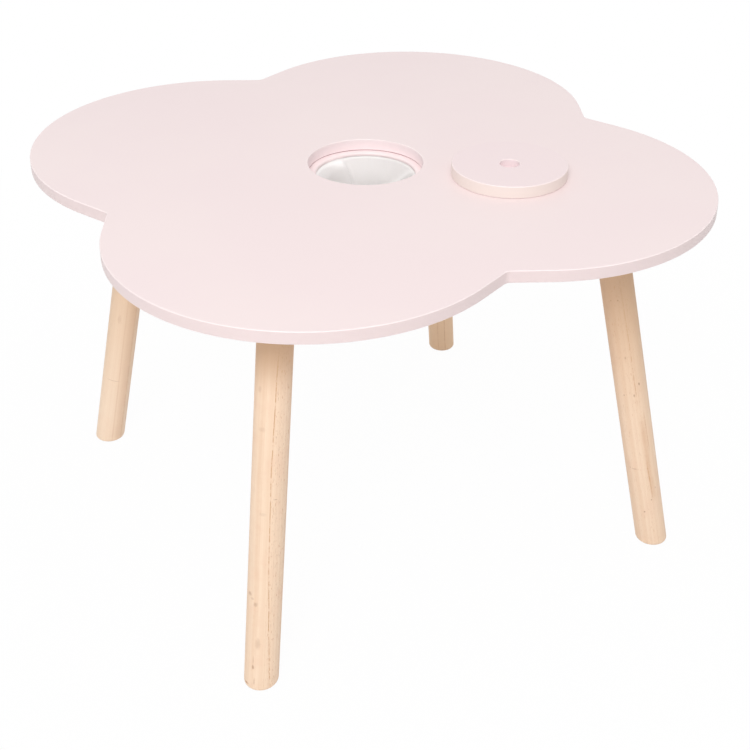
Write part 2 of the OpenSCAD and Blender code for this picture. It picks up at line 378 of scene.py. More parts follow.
# A row of the board is (1 - w) (hole + inset) d + w (outline + inset n): w goes from 0 at the hole to 1 at
# the rim, d is the direction of the outline's point from the middle, n its inward normal. The rim and the
# hole's edge are the two halves of a strip's section.
def boardGrid():
    points, normals = fourLobes()
    low, high, edge, lowerEdge = board["low"], board["high"], board["edge"], board["holeLowerEdge"]
    strip = 100
    section = softSection(0, strip, low, high, (edge, edge, edge, lowerEdge), **boardRounding)
    rim, hole = np.split(section, 2)
    across = np.linspace(0, 1, board["faceRows"] + 2)[1:-1]
    reach = edge + boardRounding["support"]
    # The joint note fades in at the hole's lower edge: it carries a painted shadow line where the board
    # meets the ledge
    paintedJointShadow = np.clip((low + lowerEdge - hole[:, 1]) / board["jointFade"], 0, 1)

    def row(*values):  # w, inset, z, arris and joint
        return np.stack(np.broadcast_arrays(*values), -1)

    rows = np.concatenate([
        row(1, strip - rim[:, 0], rim[:, 1], rim[:, 2], 0),
        row(1 - across, reach, high, 0, 0),
        row(0, hole[:, 0], hole[:, 1], hole[:, 2] * (1 - paintedJointShadow), paintedJointShadow),
        row(across, reach, low, 0, 0),
    ])
    w, inset, z, arris, paintedJointShadow = (rows[:, k, None, None] for k in range(5))
    away = points / np.linalg.norm(points, axis=1, keepdims=True)
    flat = (1 - w) * (board["holeRadius"] + inset) * away + w * (points + inset * normals)
    grid = np.concatenate([flat, np.broadcast_to(z, flat.shape[:2] + (1,))], -1)
    wall = wallNote(z, arris, low, high)
    # inside marks the hole's wall, painted lighter as painted light in the hole's shade; the joint note
    # marks its painted shadow
    notes = {"arris": arris, "wall": wall * w, "inside": wall * (1 - w), "paintedJointShadow": paintedJointShadow}
    return grid, {note: values[..., 0] * np.ones(len(points)) for note, values in notes.items()}


grid, notes = boardGrid()
tabletop = addPiece("boardTop", newMesh("boardTop", grid, loop=True, notes=notes), "table", ["tabletop"],
                    satinPaint("boardPaint", boardTones))
print("board made:", len(tabletop.data.polygons), "faces")

roundColumns = 160  # of the lid and the two rings
lid = {
    "radius": 57,
    "fingerRadius": 9.75,
    "gap": 0.1,
    "thick": 12,
    "edge": 1,
    "lowerEdge": 0.6,
    "fromMiddle": 144.5,
    "angle": -40.3,
    "faceRows": 3,
}
lidTones = {
    "base": (240, 223, 223),
    "shade": (239, 221, 222),
    "over": {
        # inside, the finger hole's wall, is painted lighter: painted light where the hole shades it. The
        # arris tint is a painted highlight.
        "wall": ((239, 228, 219), 0.75),
        "inside": ((250, 235, 237), 1.0),
        "arris": ((254, 241, 237), 0.55),
    },
    "rough": 0.42,
    "bump": 0.12,
}


# The lid's section, with rows between the roundings on both faces, turned about the lid's own middle
def lidGrid():
    low = board["high"] + lid["gap"]
    high = low + lid["thick"]
    roundings = (lid["lowerEdge"], lid["edge"], lid["edge"], lid["lowerEdge"])
    section = softSection(lid["fingerRadius"], lid["radius"], low, high, roundings, **boardRounding)
    outer, inner = np.split(section, 2)
    across = np.linspace(0, 1, lid["faceRows"] + 2)[1:-1, None]
    topRows = outer[-1] * (1 - across) + inner[0] * across
    lowRows = inner[-1] * (1 - across) + outer[0] * across
    section = np.concatenate([outer, topRows, inner, lowRows])
    middle = turnAbout(np.array([lid["fromMiddle"], 0, 0]), lid["angle"])
    wall = wallNote(section[:, 1], section[:, 2], low, high)
    outside = section[:, 0] > lid["radius"] / 2
    # inside marks the finger hole's wall, which gets painted light in the hole's shade
    notes = {"arris": section[:, 2], "wall": wall * outside, "inside": wall * ~outside}
    notes = {note: values[:, None] * np.ones(roundColumns) for note, values in notes.items()}
    return turnedGrid(section, roundColumns, middle), notes


grid, notes = lidGrid()
lidPiece = addPiece("holeLid", newMesh("holeLid", grid, loop=True, notes=notes), "lid", ["lid"],
                    satinPaint("lidPaint", lidTones))
print("lid made:", len(lidPiece.data.polygons), "faces")

# Under the board lie the ledge, the pouch's hem and the clamp ring, one below the other.
hemThick = 1.6
rings = {
    "ledge": {"inner": 50, "outer": 71.5, "thick": 3, "edge": 0.6, "innerEdges": (1.8, 0.15)},
    "clamp": {"inner": 53.8, "outer": 71.5, "thick": 3, "edge": 0.4, "innerEdges": (0.4, 0.4)},
}
ringRounding = {"steps": 3, "support": 0.15}
ledgeTones = {
    "base": (249, 232, 232),
    "shade": (248, 230, 230),
    # The arris tint is a painted highlight along the ring's rounded edges.
    "over": {"arris": ((254, 241, 237), 0.15)},
    "rough": 0.48,
    "bump": 0.12,
}
ply = {
    "grain": {"repeat": (60.0, 900.0, 60.0), "detail": 3.0},
    "grainSpan": (0.3, 0.7),
    "patch": {"repeat": (14.0, 40.0, 14.0), "detail": 2.0},
    "patchShare": 0.35,
    "pore": {"repeat": (420.0, 3600.0, 420.0), "detail": 1.0},
    "poreSpan": (0.66, 0.74),
    "poreShare": 0.4,
    "middle": ((0.9, 1.05), (1.95, 2.1)),  # where the middle ply rises and ends, in mm up the ring
    "middleShare": 0.55,
    "light": (232, 205, 170),
    "body": (219, 188, 150),
    "brown": (206, 172, 134),
    "endGrain": (186, 146, 106),
    "dark": (170, 132, 96),
    "rough": 0.62,
    "grainRough": 0.1,
    "poreDeep": 0.6,
    "bump": (0.25, 0.2),
}


# Birch plywood: the faces have long soft grain along x, and the rim shows three plies of 1 mm, the middle
# one darker because its grain stands end-on there.
def plywood(name, low):
    material, wires = newMaterial(name)
    place = wires.objectPlace()
    parts = wires.node("SeparateXYZ", {}, {"Vector": place})
    grain, patch, pore = (wires.noise(place, **ply[k]) for k in ("grain", "patch", "pore"))
    pore = pore.ramp(*ply["poreSpan"])
    tone = wires.mix(grain.ramp(*ply["grainSpan"]), ply["light"], ply["body"])
    tone = wires.mix(ply["patchShare"] * patch, tone, ply["brown"])
    height = (parts.at(2) - low * millimetre) * metre
    tone = wires.mix(height.band(*ply["middle"]) * ply["middleShare"], tone, ply["endGrain"])
    tone = wires.mix(pore * ply["poreShare"], tone, ply["dark"])
    rough = ply["rough"] + ply["grainRough"] * grain
    finishSurface(wires, tone, rough, ply["bump"], grain - ply["poreDeep"] * pore, {})
    return material


def addRing(name, sizes, high, node, material):
    low = high - sizes["thick"]
    roundings = (sizes["edge"],) * 2 + sizes["innerEdges"]
    section = softSection(sizes["inner"], sizes["outer"], low, high, roundings, **ringRounding)
    notes = {"arris": section[:, 2:3] * np.ones(roundColumns)}
    mesh = newMesh(name, turnedGrid(section, roundColumns), loop=True, notes=notes)
    return addPiece(name, mesh, "table", [node], material)


ledgeLow = board["low"] - rings["ledge"]["thick"]
clampHigh = ledgeLow - hemThick
ledgePaint = satinPaint("ledgePaint", ledgeTones)
clampPly = plywood("clampPly", clampHigh - rings["clamp"]["thick"])
addRing("ledgeRing", rings["ledge"], board["low"], "ledge_ring", ledgePaint)
addRing("clampRing", rings["clamp"], clampHigh, "pouch_clamp_ring", clampPly)
print("ledge ring and clamp ring made")

leg = {
    "radius": 16.5,
    "splay": 12.4,
    "fromMiddle": 243,
    "under": board["low"],
    "seat": 9.73,  # from the board down the leg's axis to its top
    "footRound": 4.5,
    "topRound": 2,
    "columns": 96,
    "roundSteps": 6,
    "wallRows": 21,
    "soleRows": (0.3, 0.65, 1),
    "headRows": (0.6, 0.3),
}
plainStreak = {"drift": 0, "curve": 0, "wobble": 4, "from": -10, "to": 400}
# Each leg's own wood. Angles go about the leg from its outward side, and heights are up from the foot. A
# streak starts at an angle at the head and follows drift and curve down to the foot. A mark is its angle,
# height, width, length and how dark it is. A wash is an even tint over the grain and its share, and the
# shade is painted shade: a browner tint that grows towards the head, where the board shadows the leg.
legGrain = {
    "front": {
        "offset": (0.0, 0.0, 0.0), "pith": (-0.034, 0.052), "warm": 0.0, "wash": ("pale", 0.0),
        "pores": {"angle": 62, "wide": 40, "share": 0.75},
        "shade": {"from": 288, "to": 342, "share": 0.9},
        "streaks": [
            {"angle": 26, "curve": 80, "wobble": 3, "width": 0.5, "to": 420, "dark": 0.75, "broken": 0.85},
            {"angle": -12, "drift": 4, "wobble": 10, "width": 3.5, "from": 20, "to": 380, "dark": 0.1,
             "broken": 0.3},
        ],
        "marks": [
            (-35, 99, 3.2, 3.2, 0.36),
            (-22, 95, 3.0, 1.6, 0.2),
            (-9, 90, 3.2, 3.2, 0.3),
            (4, 49, 3.6, 8, 0.22),
            (-10, 23, 1.8, 3, 0.5),
            (-10, 30, 0.6, 7, 0.35),
            (-38, 3, 4, 1.6, 0.6),
            (-4, 8, 0.6, 5, 0.45),
            (42, 198, 2.6, 0.7, 0.4),
            (3, 183, 5, 2.4, 0.12),
            (-10, 265, 5, 3, 0.12),
            (-24, 302, 3, 4, 0.14),
        ],
    },
    "right": {
        "offset": (0.31, 0.17, 0.4), "pith": (-0.05, -0.03), "warm": 0.2, "wash": ("pale", 0.0),
        "pores": {"angle": -90, "wide": 60, "share": 0.3},
        "shade": {"from": 140, "to": 345, "share": 0.9},
        "streaks": [
            {"angle": -71, "drift": 16, "width": 0.6, "from": 172, "to": 420, "dark": 0.55, "broken": 0.9},
            {"angle": -66, "drift": 38, "wobble": 3, "width": 0.8, "from": 112, "to": 180, "dark": 0.4,
             "broken": 0.4},
            {"angle": -84, "drift": 38, "width": 0.7, "from": 55, "to": 120, "dark": 0.45, "broken": 0.4},
            {"angle": -78, "drift": 38, "wobble": 6, "width": 3.2, "from": 50, "to": 170, "dark": 0.3,
             "broken": 0.2},
        ],
        "marks": [
            (-106, 101, 4.4, 0.5, 0.55),
            (-124, 102, 1, 0.9, 0.4),
            (-89, 46, 1.3, 1.2, 0.6),
            (-47, 203, 1.1, 2.4, 0.7),
            (-71, 191, 1, 2.4, 0.5),
            (-107, 192, 0.9, 1.6, 0.45),
            (-84, 236, 1.2, 2.4, 0.35),
            (-108, 301, 0.9, 0.9, 0.45),
            (-83, 301, 0.9, 1.2, 0.45),
            (-58, 60, 1, 1.3, 0.5),
            (-35, 73, 0.9, 1.8, 0.4),
        ],
    },
    "back": {
        # The honey wash is a warmer tone and also painted light: it lightens this leg, which stands in the
        # board's shade.
        "offset": (0.72, 0.55, 1.1), "pith": (0.06, -0.02), "warm": 0.0, "wash": ("honeyAndPaintedLight", 0.8),
        "pores": {"angle": 0, "wide": 60, "share": 0.2},
        "shade": {"from": 288, "to": 342, "share": 0.9},
        "streaks": [
            {"angle": -152, "drift": 6, "wobble": 5, "width": 0.6, "dark": 0.4, "broken": 0.5},
            {"angle": -178, "wobble": 5, "width": 0.6, "dark": 0.3, "broken": 0.5},
        ],
        "marks": [],
    },
    "left": {
        "offset": (1.1, 0.9, 1.9), "pith": (0.03, 0.06), "warm": 0.0, "wash": ("pale", 0.5),
        "pores": {"angle": 0, "wide": 60, "share": 0.2},
        "shade": {"from": 20, "to": 300, "share": 0.6},
        "streaks": [
            {"angle": 121, "drift": 2, "width": 0.9, "dark": 0.2, "broken": 0.2},
            {"angle": 146, "drift": 2, "width": 6, "dark": 0.2, "broken": 0.1},
            {"angle": 160, "drift": 2, "width": 1.2, "dark": 0.25, "broken": 0.5},
        ],
        "marks": [
            (98, 95, 12, 0.6, 0.3),
            (96, 182, 3, 8, 0.12),
        ],
    },
}
woodTones = {
    "light": (247, 222, 197),
    "body": (242, 214, 187),
    "late": (231, 196, 164),
    # head: the browner tone of the painted shade where the board shadows the leg tops
    "head": (216, 179, 144),
    "blush": (238, 203, 176),
    "pale": (255, 232, 207),
    # honey: a warmer tone, lighter too, painted light for the back leg in the board's shade
    "honeyAndPaintedLight": (255, 219, 181),
    "line": (202, 146, 96),
    "pore": (190, 150, 116),
    "mark": (158, 102, 62),
}
woodRings = {"years": 300.0, "lateWood": 1300.0, "bend": 0.006}  # rings in a metre, and how far they waver
woodNoise = {
    "slow": {"repeat": (22.0, 22.0, 5.0)},
    "fibre": {"repeat": (1500.0, 1500.0, 24.0), "detail": 3.0, "rough": 0.6},
    "pore": {"repeat": (3400.0, 3400.0, 190.0), "detail": 1.0},
    "fleck": {"repeat": (1300.0, 1300.0, 240.0), "detail": 0.0},
    "ripple": {"repeat": (30.0, 30.0, 300.0), "detail": 1.0},
    "patch": {"repeat": (9.0, 9.0, 5.0)},
    "blush": {"repeat": (60.0, 60.0, 42.0)},
    "wander": {"repeat": (0.0, 0.0, 14.0)},
    "dashes": {"repeat": (90.0, 90.0, 150.0), "rough": 0.7},
    "ragged": {"repeat": (500.0, 500.0, 400.0)},
}
# The span over which a pattern's noise goes from 0 to 1. A streak fades over these shares of its width, and
# a mark over these of half its width.
woodSpans = {
    "years": (0.36, 0.64),
    "lateWood": (0.5, 0.72),
    "fibre": (0.4, 0.75),
    "pore": (0.655, 0.73),
    "fleck": (0.74, 0.8),
    "ripple": (0.45, 0.7),
    "blush": (0.48, 0.72),
    "dashes": (0.38, 0.58),
    "streak": (0.3, 1.4),
    "mark": (0.5, 2.0),
}
# How far each pattern tints the wood, pore and fleck also away from the porous side; then how deep each lies
woodShares = {"lateWood": 0.22, "fibre": 0.24, "patch": 0.3, "warmth": 0.6, "blush": 0.4, "ripple": 0.1,
              "pore": 0.08, "fleck": 0.1, "porousFleck": 0.7}
woodRelief = {"fibre": 0.5, "pore": 0.7, "fleck": 0.3, "ripple": 0.25}
woodFinish = {"rough": 0.58, "fibreRough": 0.12, "rippleGloss": 0.05, "bump": (0.18, 0.2), "index": 1.45}
woodRules = {"length": 400.0, "curveAt": 0.45, "streakEnds": 25.0, "porousEdge": 0.7, "ragged": 1.2}


# Pale hardwood turned round. In the leg's own coordinates the year rings lie round a pith at some distance,
# so a point's tone follows noise(|p - pith|); fibres and pores are noise drawn out along the leg; a streak
# lies where the angle round the leg is near angle + drift u + curve (u - curveAt)^2 + wobble * noise, with u
# from 0 at the head to 1 at the foot; a mark is a soft ellipse. Towards its head the leg is tinted a warmer
# brown, painted shade where the board shadows it.
def legWood(name, grain):
    material, wires = newMaterial(name)
    place = wires.attribute("legPlace", "Vector")
    parts = wires.node("SeparateXYZ", {}, {"Vector": place})
    x, y, z = parts, parts.at(1), parts.at(2)
    moved = wires.node("VectorMath", {"operation": "ADD"}, {0: place, 1: grain["offset"]})
    raw = {kind: wires.noise(moved, **values) for kind, values in woodNoise.items()}
    fromPith = ((x - grain["pith"][0]) ** 2.0 + (y - grain["pith"][1]) ** 2.0) ** 0.5
    ringAt = fromPith + woodRings["bend"] * raw["slow"]
    for kind in ("years", "lateWood"):
        across = {"W": ringAt * woodRings[kind], "Scale": 1.0, "Detail": 1.0}
        raw[kind] = wires.node("TexNoise", {"noise_dimensions": "1D"}, across)
    mask = {kind: noise.ramp(*woodSpans[kind]) for kind, noise in raw.items() if kind in woodSpans}
    tone = wires.mix(mask["years"], woodTones["light"], woodTones["body"])
    share = woodShares
    for tint, amount in (
        ("late", share["lateWood"] * mask["lateWood"]),
        ("late", share["fibre"] * mask["fibre"]),
        ("late", (share["patch"] * raw["patch"] + grain["warm"]) * share["warmth"]),
        ("blush", share["blush"] * mask["blush"] + share["ripple"] * mask["ripple"]),
        grain["wash"],
    ):
        tone = wires.mix(amount, tone, woodTones[tint])

    around = wires.maths("ARCTAN2", y, x) * (180.0 / math.pi)
    arc = leg["radius"] * math.pi / 180.0  # mm for each degree
    toFoot = leg["under"] / math.cos(math.radians(leg["splay"]))
    up = (z + toFoot * millimetre) * metre
    down = 1.0 - up / woodRules["length"]
    wander = raw["wander"] - 0.5
    narrow, wide = woodSpans["streak"]
    for streak in grain["streaks"]:
        streak = plainStreak | streak
        curve = streak["curve"] * (down - woodRules["curveAt"]) ** 2.0
        middle = streak["angle"] + streak["drift"] * down + curve
        gap = abs(around - middle - 2.0 * streak["wobble"] * wander) * arc
        rise = (streak["from"], streak["from"] + woodRules["streakEnds"])
        fall = (streak["to"] - woodRules["streakEnds"], streak["to"])
        line = (1.0 - gap.ramp(streak["width"] * narrow, streak["width"] * wide)) * up.band(rise, fall)
        line = line * (1.0 - streak["broken"] * (1.0 - mask["dashes"]))
        tone = wires.mix(line * streak["dark"], tone, woodTones["line"])

    shade, pores = grain["shade"], grain["pores"]
    # Painted shade: the leg darkens to a browner tone towards its head, where the board shadows it
    tone = wires.mix(up.ramp(shade["from"], shade["to"]) * shade["share"], tone, woodTones["head"])
    porous = 1.0 - abs(around - pores["angle"]).ramp(pores["wide"] * woodRules["porousEdge"], pores["wide"])
    tone = wires.mix(mask["pore"] * (share["pore"] + pores["share"] * porous), tone, woodTones["pore"])
    flecks = mask["fleck"] * (share["fleck"] + share["porousFleck"] * pores["share"] * porous)
    tone = wires.mix(flecks, tone, woodTones["line"])
    for angle, height, width, length, dark in grain["marks"]:
        side = (around - angle) * (arc / width * 2.0)
        along = (up - height) / (length * 0.5)
        reach = (side ** 2.0 + along ** 2.0) ** 0.5 + (raw["ragged"] - 0.5) * woodRules["ragged"]
        tone = wires.mix((1.0 - reach.ramp(*woodSpans["mark"])) * dark, tone, woodTones["mark"])
    relief = woodRelief["fibre"] * raw["fibre"] - woodRelief["pore"] * mask["pore"] * porous
    relief = relief - woodRelief["fleck"] * mask["fleck"] + woodRelief["ripple"] * raw["ripple"]
    rough = woodFinish["rough"] + woodFinish["fibreRough"] * raw["fibre"]
    rough = rough - woodFinish["rippleGloss"] * raw["ripple"]
    finishSurface(wires, tone, rough, woodFinish["bump"], relief, {"IOR": woodFinish["index"]})
    return material


# A leg in its own frame: x = r cos t, y = r sin t, z up the leg's axis from the board's underside. Near the
# foot the rows lie level, where z = (h - under - x sin splay) / cos splay at height h, and they turn square
# to the axis towards the top.
def legGrid():
    splay = math.radians(leg["splay"])
    t = np.arange(leg["columns"]) * 2 * math.pi / leg["columns"]
    turns = np.linspace(0, math.pi / 2, leg["roundSteps"] + 1)
    radius, foot, head = leg["radius"], leg["footRound"], leg["topRound"]
    soleR = np.array(leg["soleRows"]) * (radius - foot)
    footR = np.concatenate([soleR, radius - foot * (1 - np.sin(turns[1:]))])
    footH = np.concatenate([0 * soleR, foot * (1 - np.cos(turns[1:]))])
    x = footR[:, None] * np.cos(t)
    footZ = (footH[:, None] - leg["under"] - x * math.sin(splay)) / math.cos(splay)
    w = np.linspace(0, 1, leg["wallRows"] + 1)[1:, None]
    topZ = -leg["seat"] - head
    wallZ = (1 - w) * footZ[-1] + w * topZ
    endR = np.array(leg["headRows"]) * radius
    headR = np.concatenate([radius - head * (1 - np.cos(turns[1:])), endR])
    headZ = np.concatenate([topZ + head * np.sin(turns[1:]), np.full(len(endR), topZ + head)])
    r = np.concatenate([footR, np.full(len(w), radius), headR])[:, None]
    z = np.concatenate([footZ, wallZ, headZ[:, None] + 0 * t])
    local = np.stack([r * np.cos(t), r * np.sin(t), z], -1)
    return local, {0: np.array([0, 0, -leg["under"] / math.cos(splay)]), -1: np.array([0, 0, topZ + head])}


# From a leg's own frame to the table's: leant outwards by splay, set at fromMiddle and turned to its side
def legToTable(points, side):
    splay = math.radians(leg["splay"])
    x, y, z = points[..., 0], points[..., 1], points[..., 2]
    outward = leg["fromMiddle"] + x * math.cos(splay) - z * math.sin(splay)
    upward = leg["under"] + x * math.sin(splay) + z * math.cos(splay)
    return turnAbout(np.stack([outward, y, upward], -1), sides[side])


local, poles = legGrid()
for side in sides:
    ends = {row: legToTable(pole, side) for row, pole in poles.items()}
    mesh = newMesh("leg." + side, legToTable(local, side), ends, notes={"legPlace": local * millimetre})
    wood = legWood("wood." + side, legGrain[side])
    addPiece("leg." + side, mesh, "table", ["leg_" + side], wood)
print("legs made")

plate = {
    "width": 60,
    "corner": 8,
    "thick": 2.5,
    "gap": 0.02,
    "edge": 0.5,
    "edgeSteps": 3,
    "bossRadius": 13,
    "fillet": 1.6,
    "support": 0.3,
    "columns": 144,
    "topRows": (0.35, 0.7, 0.97),
    "underRows": (0.04, 0.35, 0.7, 1),
    "endRows": (0.7, 0.3),
}
zincCoat = {
    "cloud": {"repeat": 90.0, "detail": 3.0},
    "cloudSpan": (0.3, 0.7),
    "lines": {"repeat": (160.0, 5200.0, 5200.0), "detail": 1.0},
    "light": (196, 199, 204),
    "dark": (176, 180, 187),
    "rough": 0.3,
    "cloudRough": 0.16,
    "bump": (0.08, 0.1),
}


# Zinc-plated steel: a cloudy roughness, fine rolling lines and a slightly blue tone
def zinc(name):
    material, wires = newMaterial(name)
    place = wires.objectPlace()
    cloud, lines = (wires.noise(place, **zincCoat[k]) for k in ("cloud", "lines"))
    tone = wires.mix(cloud.ramp(*zincCoat["cloudSpan"]), zincCoat["light"], zincCoat["dark"])
    rough = zincCoat["rough"] + zincCoat["cloudRough"] * cloud
    finishSurface(wires, tone, rough, zincCoat["bump"], lines, {"Metallic": 1.0})
    return material


# Rows of the plate, from its upper middle outwards, over the edge, in to the boss, down it and closed below.
# The square's radius is w / 2 / max(|cos t|, |sin t|), or the corner circle's; the boss follows the leg's
# slanted axis. Over a rounding closing goes from 1 to 0 and opening from 0 to 1.
def plateGrid():
    splay = math.radians(leg["splay"])
    t = np.arange(plate["columns"]) * 2 * math.pi / plate["columns"]
    c, s = np.abs(np.cos(t)), np.abs(np.sin(t))

    def square(inset):
        bend, straight = plate["corner"] - inset, plate["width"] / 2 - plate["corner"]
        flat = (straight + bend) / np.maximum(c, s)
        corner = straight * (c + s) + np.sqrt(np.maximum(bend**2 - (straight * (s - c)) ** 2, 0))
        return np.where(np.minimum(c, s) * flat > straight, corner, flat)

    def level(radius, height):  # rows in the plate's plane
        return np.stack([radius * np.cos(t), radius * np.sin(t), height + 0 * t], -1)

    def boss(radius, height):  # the slanted tube cut level at a height: its outward place leans with the leg
        x = radius * np.cos(t)
        z = (height - leg["under"] - x * math.sin(splay)) / math.cos(splay)
        return np.stack([x * math.cos(splay) - z * math.sin(splay), radius * np.sin(t), height + 0 * t], -1)

    def bossEnd(radius, down):  # the tube cut square to the leg's axis
        x = radius * np.cos(t)
        return np.stack([x * math.cos(splay) + down * math.sin(splay), radius * np.sin(t),
                         leg["under"] + x * math.sin(splay) - down * math.cos(splay)], -1)

    high, low, edge = leg["under"] - plate["gap"], leg["under"] - plate["thick"], plate["edge"]
    tube, fillet = plate["bossRadius"], plate["fillet"]
    turns = np.linspace(0, math.pi / 2, plate["edgeSteps"] + 1)
    bends = [(1 - math.sin(a), 1 - math.cos(a)) for a in turns]
    rows = [level(square(edge) * k, high) for k in plate["topRows"]]
    rows += [level(square(edge * closing), high - edge * opening) for closing, opening in bends]
    rows += [level(square(edge * opening), low + edge * closing) for closing, opening in bends]
    rim, neck = level(square(edge), low), boss(tube + fillet + plate["support"], low)
    rows += [rim * (1 - k) + neck * k for k in plate["underRows"]]
    rows += [boss(tube + fillet * closing, low - fillet * opening) for closing, opening in bends]
    rows += [bossEnd(tube - edge * opening, leg["seat"] - edge * closing) for closing, opening in bends]
    rows += [bossEnd(tube * k, leg["seat"]) for k in plate["endRows"]]
    tip = np.array([leg["seat"] * math.sin(splay), 0, leg["under"] - leg["seat"] * math.cos(splay)])
    return np.stack(rows), {0: np.array([0, 0, high]), -1: tip}


grid, poles = plateGrid()
zincSteel = zinc("zincSteel")
shift = np.array([leg["fromMiddle"], 0, 0])
for side in sides:
    ends = {row: turnAbout(pole + shift, sides[side]) for row, pole in poles.items()}
    mesh = newMesh("plate." + side, turnAbout(grid + shift, sides[side]), ends)
    addPiece("plate." + side, mesh, "table", ["leg_plate_" + side], zincSteel)
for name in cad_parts:
    if name.startswith(("ring_screws", "plate_screws", "hanger_bolt")):
        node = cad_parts[name]
        node.data.materials.clear()
        node.data.materials.append(zincSteel)
print("leg plates made, fasteners plated")

# baseFrom, seamAt, seamWide, wavesRise and pressEnds are shares of the way t from the neck to the base's
# middle, and foldStart, foldEnd, slackFrom and slackEnds are depths below the neck.
pouch = {
    "hemOuter": 70.9,
    "hemHeight": ledgeLow - hemThick / 2,
    "hemRows": 8,
    "neck": 51,
    "bendOut": 0.9,
    "bendDown": 0.6,
    "bendAngles": (30, 60),
    "swell": 9,
    "swellTurn": 150,
    "depth": 148.5,
    "cornerPower": 5,
    "thick": 0.9,
    # In metres: the side is cut 385 x 160 mm with its hem and seams, and the base, 128 mm across, beside it.
    "flat": (0.385, 0.288),
    "area": 0.0745,
    "columns": 320,
    "sideSteps": 95,
    "baseSteps": 21,
    "baseFrom": 0.84,
    "seamAt": 0.7,
    "seamWide": 0.006,
    "seamProud": 0.8,
    "foldStart": 14,
    "foldEnd": 22,
    "slackFrom": -8,
    "slackEnds": (46, 100),
    "waves": (2, 3, 5, 8),
    "waveDeep": 2.0,
    "waveLean": 1.5,
    "wavesRise": (0.1, 0.4),
    "pressEnds": (0.72, 0.9),
    "seed": 7,
}
# The loose cloth bows in by press mm round an angle, wide degrees to either side, most from the depth reach
# until slackEnds.
pouchSlack = [
    {"angle": 62, "press": 5.5, "wide": 50, "reach": 28},
    {"angle": 155, "press": 10, "wide": 52, "reach": 15},
    {"angle": -6, "press": 7, "wide": 26, "reach": 28},
    {"angle": -120, "press": 4, "wide": 60, "reach": 28},
]
# Each fold starts at an angle and turns away by turn (1 - exp(-down / rate)) on its way down. It is pressed
# in by press mm, reaches wide degrees to either side, or tail towards the larger angles, and lies between
# two depths.
pouchFolds = [
    {"angle": 97, "turn": -22, "rate": 28, "press": 7.5, "wide": 3.6, "tail": 20, "from": -8, "to": 90},
    {"angle": -13, "turn": 190, "rate": 120, "press": 2.4, "wide": 5, "from": -4, "to": 46},
    {"angle": 158, "turn": 8, "rate": 60, "press": 3, "wide": 14, "from": 30, "to": 125},
    {"angle": -168, "turn": -6, "rate": 60, "press": 3.2, "wide": 11, "from": 20, "to": 130},
    {"angle": -128, "turn": 7, "rate": 50, "press": 5, "wide": 15, "from": 6, "to": 120},
    {"angle": -92, "turn": -9, "rate": 70, "press": 3.6, "wide": 12, "from": 14, "to": 130},
    {"angle": -52, "turn": 8, "rate": 40, "press": 4.6, "wide": 14, "from": 8, "to": 118},
    {"angle": 38, "turn": 6, "rate": 60, "press": 4, "wide": 15, "from": 52, "to": 128},
    {"angle": 4, "turn": -7, "rate": 60, "press": 3, "wide": 12, "from": 55, "to": 125},
    {"angle": 178, "turn": -7, "rate": 50, "press": 3, "wide": 4, "tail": 8, "from": 0, "to": 100},
    {"angle": -148, "turn": 9, "rate": 45, "press": 3.6, "wide": 4, "tail": 10, "from": -4, "to": 108},
    {"angle": -110, "turn": -12, "rate": 60, "press": 3.6, "wide": 4, "tail": 9, "from": -4, "to": 118},
    {"angle": -70, "turn": 8, "rate": 45, "press": 3.2, "wide": 4, "tail": 9, "from": -4, "to": 96},
    {"angle": -32, "turn": -9, "rate": 50, "press": 3.4, "wide": 4, "tail": 8, "from": -4, "to": 110},
    {"angle": 20, "turn": 9, "rate": 60, "press": 3.2, "wide": 5, "from": 54, "to": 132},
    {"angle": 62, "turn": 7, "rate": 70, "press": 3.6, "wide": 5, "tail": 9, "from": 56, "to": 134},
    {"angle": 92, "turn": 8, "rate": 60, "press": 3.2, "wide": 5, "from": 58, "to": 128},
    {"angle": 124, "turn": -9, "rate": 60, "press": 3.4, "wide": 5, "tail": 8, "from": 58, "to": 132},
]


# How far the cloth is pressed in at t, the angle around and the depth down: folds and slack are bells
# exp(-(turn / wide)^2), and slow waves waveDeep / n sin(n around + phase + 2 lean d) run all round.
def pouchPress(t, around, d, down):
    press = 0 * t + 0 * around
    for fold in pouchFolds:
        middle = fold["angle"] + fold["turn"] * (1 - np.exp(-down / fold["rate"]))
        turn = (around - middle + 180) % 360 - 180
        rises = smooth(down, fold["from"], fold["from"] + pouch["foldStart"])
        falls = 1 - smooth(down, fold["to"] - pouch["foldEnd"], fold["to"])
        wide = np.where(turn > 0, fold.get("tail", fold["wide"]), fold["wide"])
        press = press + fold["press"] * np.exp(-((turn / wide) ** 2)) * (rises * falls)
    sag = 0 * press
    for bow in pouchSlack:
        turn = (around - bow["angle"] + 180) % 360 - 180
        lies = smooth(down, pouch["slackFrom"], bow["reach"]) * (1 - smooth(down, *pouch["slackEnds"]))
        sag = sag + bow["press"] * np.exp(-((turn / bow["wide"]) ** 2)) * lies
    rng = np.random.default_rng(pouch["seed"])
    for waves in pouch["waves"]:
        phase, lean = rng.uniform(0, 2 * np.pi), rng.uniform(-pouch["waveLean"], pouch["waveLean"])
        wave = np.sin(np.radians(waves * around) + phase + lean * d * 2)
        sag = sag + pouch["waveDeep"] / waves * wave * smooth(t, *pouch["wavesRise"])
    return (press + sag) * (1 - smooth(t, *pouch["pressEnds"]))


